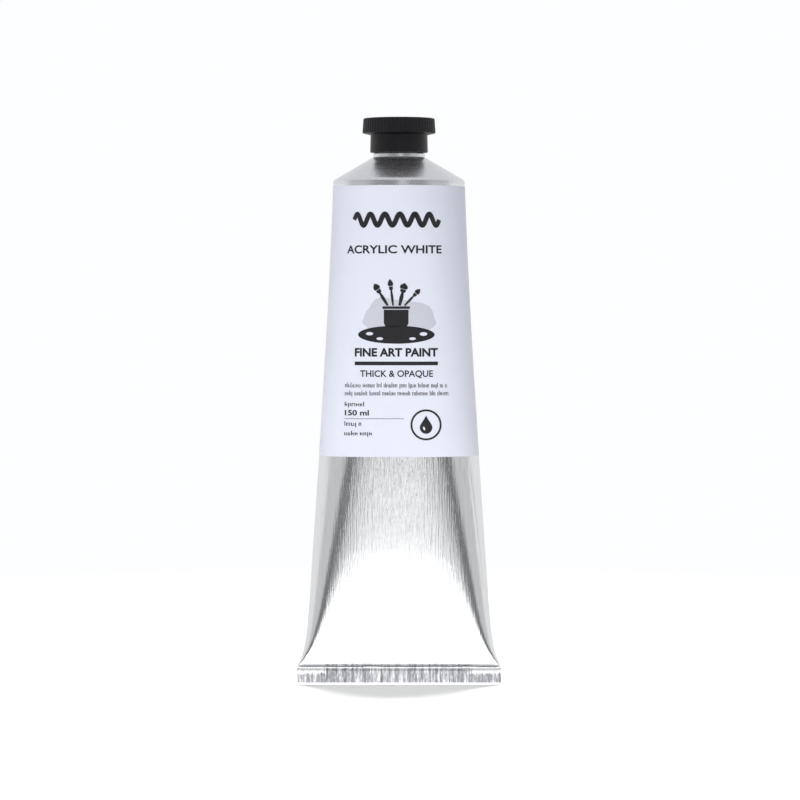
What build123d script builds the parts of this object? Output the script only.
"""A 150 ml aluminium paint tube with a screw cap, standing on its folded end.

Millimetres. The origin is the bottom centre of the folded end and +Z runs up the tube
to the cap. The printed front faces -Y, and +X is to the right of someone reading it.
"""

from build123d import *
import math
import os

os.makedirs("parts", exist_ok=True)

# Sleeve: a thin round tube that is flattened towards its folded end
TUBE_RADIUS = 20.0
SLEEVE_WALL = 0.15
SLEEVE_TOP_Z = 153.0
TAPER_SHARE = 0.78          # part of the flattening that builds up along the whole sleeve
TAPER_POWER = 1.2
PINCH_LENGTH = 4.5
FRONT_END_TURN = math.radians(40)   # how far the front of a round section runs round its ends
FRONT_STEPS = 24
END_STEPS = 12

# Folded end: the flat sleeve is turned up twice, so a section shows three layers
LAYER_PITCH = 0.5           # from one layer's middle to the next
SEAL_THICKNESS = 0.1
LAYER_THICKNESS = 2 * SLEEVE_WALL + SEAL_THICKNESS
FOLD_TOP_Z = 5.2
PINCH_Z = 5.6               # where the sleeve is fully flat
SPAN_JOIN_Z = 18.0          # the sleeve bends quickly below this, and slowly above
LOWER_STEPS = 8
UPPER_STEPS = 10
INNER_LAYER_END_Z = 1.4
SEAL_TOP_Z = 6.6
PINCH_SHARE = 1 - LAYER_THICKNESS / 2 / TUBE_RADIUS - TAPER_SHARE   # just above the fold
SEAL_BEAD_GAP = 0.02

# Shoulder and neck, thicker than the sleeve and made in one piece with it
SHOULDER_SLOPE = 30.3       # degrees from level
SHOULDER_EDGE_Z = 154.2     # where the cone would meet the sleeve
SHOULDER_EDGE_ROUND = 1.2
SHOULDER_WALL = 0.7
COLLAR_RADIUS = 7.9
COLLAR_TOP_Z = 162.4
NECK_RADIUS = 6.5
NECK_TOP_Z = 170.4
NECK_RIM_CHAMFER = 0.3
BORE_RADIUS = 4.8

# Screw thread, one ridge on the neck and one in the cap
THREAD_PITCH = 2.0
NECK_THREAD_START_Z = 163.6
NECK_THREAD_TURNS = 3.0
NECK_THREAD_TIP_RADIUS = 7.3
CAP_THREAD_START_Z = NECK_THREAD_START_Z + THREAD_PITCH / 2
CAP_THREAD_TURNS = 2.25
CAP_THREAD_TIP_RADIUS = 6.75
THREAD_BASE_HALF_WIDTH = 0.55
THREAD_TIP_HALF_WIDTH = 0.24
THREAD_ROOT_DEPTH = 0.2     # how far each ridge is rooted in its wall

# Cap: a narrow skirt under a wider ribbed grip
CAP_BOTTOM_Z = 162.7
CAP_TOP_Z = 173.1
CAP_BORE_RADIUS = 7.5
CAP_CEILING_Z = 171.5
SKIRT_BOTTOM_RADIUS = 8.8
SKIRT_TOP_RADIUS = 8.65
SKIRT_TOP_Z = 168.0
GRIP_BOTTOM_Z = 168.6
GRIP_BOTTOM_RADIUS = 11.16
GRIP_TOP_RADIUS = 10.85
GRIP_RIBS = 60
RIB_DEPTH = 0.2
CAP_EDGE_CHAMFER = 0.35
CAP_DISH_RADIUS = 8.4
CAP_DISH_DEPTH = 0.3

# Sealing disc between the neck's rim and the cap's ceiling
LINER_RADIUS = 7.2
LINER_GAP = 0.03

# Printed label, wrapped all the way round the upper sleeve
LABEL_BOTTOM_Z = 70.7
LABEL_TOP_Z = 152.3
LABEL_GAP = 0.05
LABEL_THICKNESS = 0.1
LABEL_STEPS = 7

# Paint inside, with the air space at the folded end
PAINT_WALL_GAP = 0.1
PAINT_BOTTOM_Z = 8.6
PAINT_TOP_Z = 170.1
PAINT_LOWER_STEPS = 6

AXIS_OF_TUBE = Axis.Z
JOIN_TOLERANCE = 1e-4
CUT_MARGIN = 1.0            # how far a cutting shape reaches past what it cuts


# ---------------------------------------------------------------- sleeve sections

def flattening(z):
    """0 where the sleeve is round, 1 where it would be a flat ribbon."""
    height_share = max(0.0, (SLEEVE_TOP_Z - z) / (SLEEVE_TOP_Z - PINCH_Z))
    taper = TAPER_SHARE * height_share ** TAPER_POWER
    pinch = PINCH_SHARE * math.exp(-(z - PINCH_Z) / PINCH_LENGTH)
    return taper + pinch


def sleeve_middle_y(z):
    """The flat end runs into the fold's back layer, so the sleeve leans back by a layer."""
    return LAYER_PITCH * math.exp(-(z - PINCH_Z) / PINCH_LENGTH)


def evenly_paced(points, start, end):
    """Smooth edge through evenly spaced points, leaving and arriving with these tangents."""
    steps = [step / (len(points) - 1) for step in range(len(points))]
    return Edge.make_spline(points, tangents=[start, end], parameters=steps, scale=False)


def front_or_back_edge(side, half_flat, radius, middle_y, z):
    """The flattened front (side -1) or back (side 1) of a section, from -X to +X.

    It runs a little way round each end, further where the sleeve is rounder, so that it
    never shrinks to nothing. Its points are evenly spaced along it.
    """
    turn = FRONT_END_TURN * radius / TUBE_RADIUS
    half_length = half_flat + radius * turn
    points = []
    for step in range(FRONT_STEPS + 1):
        s = half_length * (2 * step / FRONT_STEPS - 1)
        round_angle = math.copysign(max(0.0, abs(s) - half_flat) / radius, s)
        flat_x = max(-half_flat, min(half_flat, s))
        x = flat_x + radius * math.sin(round_angle)
        y = middle_y + side * radius * math.cos(round_angle)
        points.append(Vector(x, y, z))
    start = Vector(math.cos(turn), side * math.sin(turn)) * 2 * half_length
    return evenly_paced(points, start, Vector(start.X, -start.Y))


def end_edge(side, half_flat, radius, middle_y, z):
    """The round end of a section towards -X (side -1) or +X (side 1), from -Y to +Y."""
    turn = FRONT_END_TURN * radius / TUBE_RADIUS
    half_angle = math.pi / 2 - turn
    points = []
    for step in range(END_STEPS + 1):
        angle = half_angle * (2 * step / END_STEPS - 1)
        x = side * (half_flat + radius * math.cos(angle))
        points.append(Vector(x, middle_y + radius * math.sin(angle), z))
    start = Vector(side * math.sin(half_angle), math.cos(half_angle)) * 2 * radius * half_angle
    return evenly_paced(points, start, Vector(-start.X, start.Y))


def sleeve_outline(z, offset):
    """Closed section of the sleeve at height z, larger all round by offset.

    The section is a circle pulled apart along X, with flats between its halves, so its
    length round the outside stays that of the round tube however far it is flattened.
    """
    flat = flattening(z)
    half_flat = math.pi * TUBE_RADIUS / 2 * flat
    radius = TUBE_RADIUS * (1 - flat) + offset
    shape = (half_flat, radius, sleeve_middle_y(z), z)
    return Wire([
        front_or_back_edge(-1, *shape), end_edge(1, *shape),
        front_or_back_edge(1, *shape), end_edge(-1, *shape),
    ])


def sleeve_solid(bottom_z, top_z, steps, offset):
    """Solid inside the sleeve's evenly spaced sections, larger all round by offset."""
    heights = [bottom_z + (top_z - bottom_z) * step / steps for step in range(steps + 1)]
    return Solid.make_loft([sleeve_outline(z, offset) for z in heights])


def curved_faces(solid):
    return [face for face in solid.faces() if face.geom_type != GeomType.PLANE]


def sleeve_faces(bottom_z, lower_steps, offset):
    """Curved faces of the sleeve from bottom_z up, in two spans that share a section."""
    lower = sleeve_solid(bottom_z, SPAN_JOIN_Z, lower_steps, offset)
    upper = sleeve_solid(SPAN_JOIN_Z, SLEEVE_TOP_Z, UPPER_STEPS, offset)
    return curved_faces(lower) + curved_faces(upper)


def ring_between(z, inner_offset, outer_offset):
    return Face(sleeve_outline(z, outer_offset), [sleeve_outline(z, inner_offset)])


def solid_within(faces):
    return Solid(Shell(faces))


# ---------------------------------------------------------------- turned and threaded shapes

def turned(*outline):
    """Solid of revolution about the tube's axis from (radius, height) corners."""
    face = make_face(Polyline(*[(r, 0, z) for r, z in outline], close=True))
    return revolve(face, AXIS_OF_TUBE)


def cone_height(radius, drop=0.0):
    """Height of the shoulder's cone at this radius, lowered by drop."""
    rise = (TUBE_RADIUS - radius) * math.tan(math.radians(SHOULDER_SLOPE))
    return SHOULDER_EDGE_Z + rise - drop


def thread_ridge(root_radius, tip_radius, start_z, turns):
    """One helical ridge that stands on a wall at root_radius and points at tip_radius."""
    outwards = 1 if tip_radius > root_radius else -1
    buried_radius = root_radius - outwards * THREAD_ROOT_DEPTH
    helix = Helix(THREAD_PITCH, THREAD_PITCH * turns, root_radius, center=(0, 0, start_z))
    profile = make_face(Polyline(
        (buried_radius, 0, start_z - THREAD_BASE_HALF_WIDTH),
        (root_radius, 0, start_z - THREAD_BASE_HALF_WIDTH),
        (tip_radius, 0, start_z - THREAD_TIP_HALF_WIDTH),
        (tip_radius, 0, start_z + THREAD_TIP_HALF_WIDTH),
        (root_radius, 0, start_z + THREAD_BASE_HALF_WIDTH),
        (buried_radius, 0, start_z + THREAD_BASE_HALF_WIDTH),
        close=True,
    ))
    return sweep(profile, path=helix, is_frenet=True)


# ---------------------------------------------------------------- folded end

def flat_section(y, z, offset):
    """The fully flat sleeve's section, with its middle moved to (y, z)."""
    return Pos(0, y - LAYER_PITCH, z - PINCH_Z) * Face(sleeve_outline(PINCH_Z, offset))


def fold_faces(offset):
    """Curved faces of the flat sleeve's way through the double fold.

    It goes down at the back, round the bottom, up at the front and down between the two.
    """
    back, front = LAYER_PITCH, -LAYER_PITCH
    bottom_z = LAYER_PITCH + LAYER_THICKNESS / 2
    top_z = FOLD_TOP_Z - LAYER_PITCH / 2 - LAYER_THICKNESS / 2
    bottom_turn = Axis((0, 0, bottom_z), (-1, 0, 0))
    top_turn = Axis((0, front / 2, top_z), (-1, 0, 0))
    runs = [
        Solid.extrude(flat_section(back, PINCH_Z, offset), (0, 0, bottom_z - PINCH_Z)),
        Solid.revolve(flat_section(back, bottom_z, offset), 180, bottom_turn),
        Solid.extrude(flat_section(front, bottom_z, offset), (0, 0, top_z - bottom_z)),
        Solid.revolve(flat_section(front, top_z, offset), 180, top_turn),
        Solid.extrude(flat_section(0, top_z, offset), (0, 0, INNER_LAYER_END_Z - top_z)),
    ]
    return [face for run in runs for face in curved_faces(run)]


# ---------------------------------------------------------------- pieces

def make_shoulder_cavity():
    drop = SHOULDER_WALL / math.cos(math.radians(SHOULDER_SLOPE))
    inner_radius = TUBE_RADIUS - SLEEVE_WALL
    return turned(
        (0, SLEEVE_TOP_Z),
        (inner_radius, SLEEVE_TOP_Z),
        (inner_radius, cone_height(inner_radius, drop)),
        (BORE_RADIUS, cone_height(BORE_RADIUS, drop)),
        (BORE_RADIUS, NECK_TOP_Z),
        (0, NECK_TOP_Z),
    )


def make_shoulder_and_neck():
    shoulder = turned(
        (0, SLEEVE_TOP_Z),
        (TUBE_RADIUS, SLEEVE_TOP_Z),
        (TUBE_RADIUS, SHOULDER_EDGE_Z),
        (COLLAR_RADIUS, cone_height(COLLAR_RADIUS)),
        (COLLAR_RADIUS, COLLAR_TOP_Z),
        (NECK_RADIUS, COLLAR_TOP_Z),
        (NECK_RADIUS, NECK_TOP_Z - NECK_RIM_CHAMFER),
        (NECK_RADIUS - NECK_RIM_CHAMFER, NECK_TOP_Z),
        (0, NECK_TOP_Z),
    )
    edge = shoulder.edges().filter_by(GeomType.CIRCLE).filter_by(
        lambda e: abs(e.radius - TUBE_RADIUS) < 0.01 and e.center().Z > SLEEVE_TOP_Z + 0.1
    )
    shoulder = fillet(edge, SHOULDER_EDGE_ROUND)
    thread = thread_ridge(
        NECK_RADIUS, NECK_THREAD_TIP_RADIUS, NECK_THREAD_START_Z, NECK_THREAD_TURNS)
    return shoulder + thread


def make_tube_shell():
    outside = sleeve_faces(PINCH_Z, LOWER_STEPS, 0.0) + fold_faces(0.0)
    inside = sleeve_faces(PINCH_Z, LOWER_STEPS, -SLEEVE_WALL) + fold_faces(-SLEEVE_WALL)
    top_ring = ring_between(SLEEVE_TOP_Z, -SLEEVE_WALL, 0.0)
    fold_end = Pos(0, -LAYER_PITCH, INNER_LAYER_END_Z - PINCH_Z) * ring_between(
        PINCH_Z, -SLEEVE_WALL, 0.0)
    sleeve = solid_within(outside + inside + [top_ring, fold_end])
    shoulder = make_shoulder_and_neck() - make_shoulder_cavity()
    return sleeve.fuse(shoulder, tol=JOIN_TOLERANCE)


def make_end_seal():
    """Sealing compound: a film through the fold and a bead in the sharp end of the cavity."""
    sections = [sleeve_outline(PINCH_Z, -SLEEVE_WALL)]
    for z in ((PINCH_Z + SEAL_TOP_Z) / 2, SEAL_TOP_Z):
        sections.append(sleeve_outline(z, -SLEEVE_WALL - SEAL_BEAD_GAP))
    bead_top = Face(sections[-1])
    film_end = flat_section(0, INNER_LAYER_END_Z, -SLEEVE_WALL)
    bead = curved_faces(Solid.make_loft(sections))
    return solid_within(bead + fold_faces(-SLEEVE_WALL) + [bead_top, film_end])


def make_label():
    inner, outer = LABEL_GAP, LABEL_GAP + LABEL_THICKNESS
    faces = [ring_between(z, inner, outer) for z in (LABEL_BOTTOM_Z, LABEL_TOP_Z)]
    for offset in (inner, outer):
        faces += curved_faces(sleeve_solid(LABEL_BOTTOM_Z, LABEL_TOP_Z, LABEL_STEPS, offset))
    return solid_within(faces)


def make_paint_fill():
    offset = -SLEEVE_WALL - PAINT_WALL_GAP
    ends = [Face(sleeve_outline(z, offset)) for z in (PAINT_BOTTOM_Z, SLEEVE_TOP_Z)]
    body = solid_within(sleeve_faces(PAINT_BOTTOM_Z, PAINT_LOWER_STEPS, offset) + ends)
    body_radius = TUBE_RADIUS - SLEEVE_WALL - PAINT_WALL_GAP
    drop = SHOULDER_WALL / math.cos(math.radians(SHOULDER_SLOPE)) + PAINT_WALL_GAP
    plug_radius = BORE_RADIUS - PAINT_WALL_GAP
    shoulder = turned(
        (0, SLEEVE_TOP_Z),
        (body_radius, SLEEVE_TOP_Z),
        (plug_radius, cone_height(plug_radius, drop)),
        (plug_radius, PAINT_TOP_Z),
        (0, PAINT_TOP_Z),
    )
    return body.fuse(shoulder, tol=JOIN_TOLERANCE)


def ribbed_outline(radius, z):
    """Star-shaped section of the grip, with its ribs' crests at radius."""
    corners = []
    for step in range(2 * GRIP_RIBS):
        angle = math.pi * step / GRIP_RIBS
        r = radius - RIB_DEPTH * (step % 2)
        corners.append((r * math.cos(angle), r * math.sin(angle), z))
    return make_face(Polyline(*corners, close=True))


def make_grip():
    bottom = ribbed_outline(GRIP_BOTTOM_RADIUS, GRIP_BOTTOM_Z)
    top = ribbed_outline(GRIP_TOP_RADIUS, CAP_TOP_Z)
    chamfered_envelope = turned(
        (0, GRIP_BOTTOM_Z),
        (GRIP_BOTTOM_RADIUS - CAP_EDGE_CHAMFER, GRIP_BOTTOM_Z),
        (GRIP_BOTTOM_RADIUS + CUT_MARGIN, GRIP_BOTTOM_Z + CAP_EDGE_CHAMFER + CUT_MARGIN),
        (GRIP_TOP_RADIUS + CUT_MARGIN, CAP_TOP_Z - CAP_EDGE_CHAMFER - CUT_MARGIN),
        (GRIP_TOP_RADIUS - CAP_EDGE_CHAMFER, CAP_TOP_Z),
        (0, CAP_TOP_Z),
    )
    return loft([bottom, top], ruled=True) & chamfered_envelope


def make_cap():
    skirt = turned(
        (0, CAP_BOTTOM_Z),
        (SKIRT_BOTTOM_RADIUS - CAP_EDGE_CHAMFER, CAP_BOTTOM_Z),
        (SKIRT_BOTTOM_RADIUS, CAP_BOTTOM_Z + CAP_EDGE_CHAMFER),
        (SKIRT_TOP_RADIUS, SKIRT_TOP_Z),
        (GRIP_BOTTOM_RADIUS - CAP_EDGE_CHAMFER, GRIP_BOTTOM_Z),
        (0, GRIP_BOTTOM_Z),
    )
    bore = turned(
        (0, CAP_BOTTOM_Z - CUT_MARGIN),
        (CAP_BORE_RADIUS, CAP_BOTTOM_Z - CUT_MARGIN),
        (CAP_BORE_RADIUS, CAP_CEILING_Z),
        (0, CAP_CEILING_Z),
    )
    dish = turned(
        (0, CAP_TOP_Z - CAP_DISH_DEPTH),
        (CAP_DISH_RADIUS - CAP_DISH_DEPTH, CAP_TOP_Z - CAP_DISH_DEPTH),
        (CAP_DISH_RADIUS, CAP_TOP_Z),
        (CAP_DISH_RADIUS, CAP_TOP_Z + CUT_MARGIN),
        (0, CAP_TOP_Z + CUT_MARGIN),
    )
    thread = thread_ridge(
        CAP_BORE_RADIUS, CAP_THREAD_TIP_RADIUS, CAP_THREAD_START_Z, CAP_THREAD_TURNS)
    return make_grip() + skirt - bore - dish + thread


def make_cap_liner():
    return turned(
        (0, NECK_TOP_Z + LINER_GAP),
        (LINER_RADIUS, NECK_TOP_Z + LINER_GAP),
        (LINER_RADIUS, CAP_CEILING_Z - LINER_GAP),
        (0, CAP_CEILING_Z - LINER_GAP),
    )


PIECES = {
    "tube_shell": make_tube_shell,
    "end_seal": make_end_seal,
    "label": make_label,
    "paint_fill": make_paint_fill,
    "cap": make_cap,
    "cap_liner": make_cap_liner,
}

for name, make in PIECES.items():
    piece = make()
    piece.label = name
    export_step(piece, f"parts/{name}.step")
    print(f"{name}: {len(piece.solids())} solid, {piece.volume / 1000:.3f} ml")
